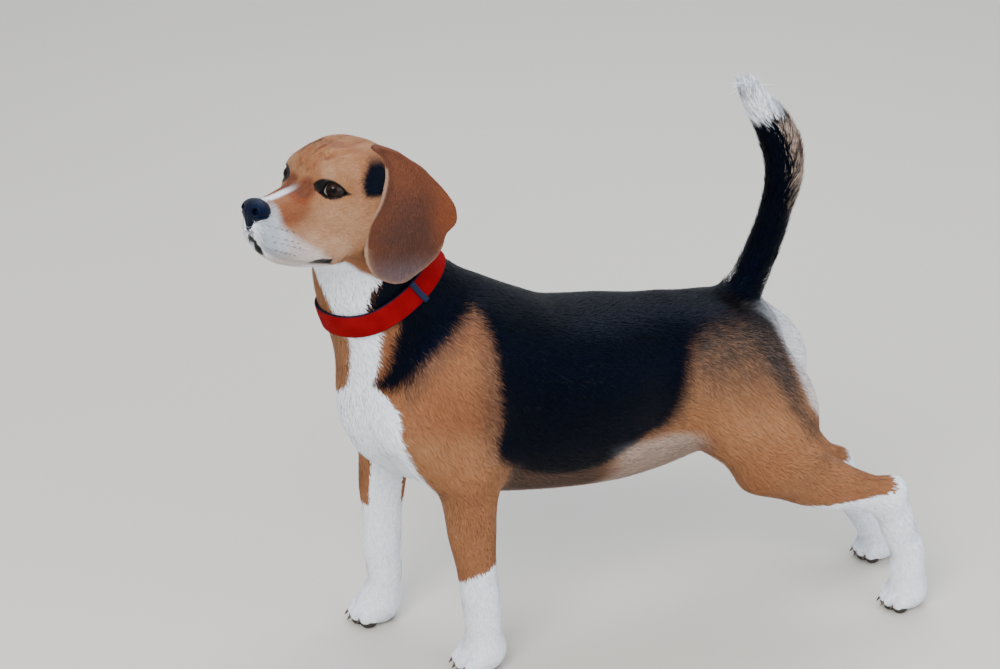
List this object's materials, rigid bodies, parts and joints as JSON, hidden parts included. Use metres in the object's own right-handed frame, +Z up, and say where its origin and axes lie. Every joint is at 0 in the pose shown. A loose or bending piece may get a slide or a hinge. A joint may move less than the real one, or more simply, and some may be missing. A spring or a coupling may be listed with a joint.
{
  "type": "beagle",
  "caption": "Life-size still model of a standing beagle with its head turned, wearing a red webbing collar.",
  "frame": {"origin": "centre of the base of the bounding box, on the floor", "axes": "+Z up; +X towards the tail, so the dog walks towards -X; +Y towards the dog's right side"},
  "size_m": [0.6948, 0.202, 0.5665],
  "materials": {
    "coat_tan": "short flat tan fur",
    "coat_black": "short glossy black fur",
    "coat_white": "short white fur",
    "coat_ear": "velvety rust-brown fur",
    "nose_leather": "moist pebbled black",
    "eye_glass": "polished dark brown",
    "collar_webbing": "woven red webbing",
    "collar_plastic": "moulded satin"
  },
  "bodies": {
    "root": {"collar_buckle": "collar_plastic", "collar_slide": "collar_plastic", "collar_strap": "collar_webbing", "ear_left": "coat_ear", "ear_right": "coat_ear", "eye_left": "eye_glass", "eye_right": "eye_glass", "forepaw_left": "coat_white", "forepaw_right": "coat_white", "head": "coat_tan", "hindpaw_left": "coat_white", "hindpaw_right": "coat_white", "lower_foreleg_left": "coat_tan", "lower_foreleg_right": "coat_tan", "lower_hindleg_left": "coat_tan", "lower_hindleg_right": "coat_tan", "neck": "coat_black", "nose": "nose_leather", "tail": "coat_black", "thigh_left": "coat_tan", "thigh_right": "coat_tan", "trunk": "coat_black", "upper_foreleg_left": "coat_tan", "upper_foreleg_right": "coat_tan"}
  },
  "joints": []
}
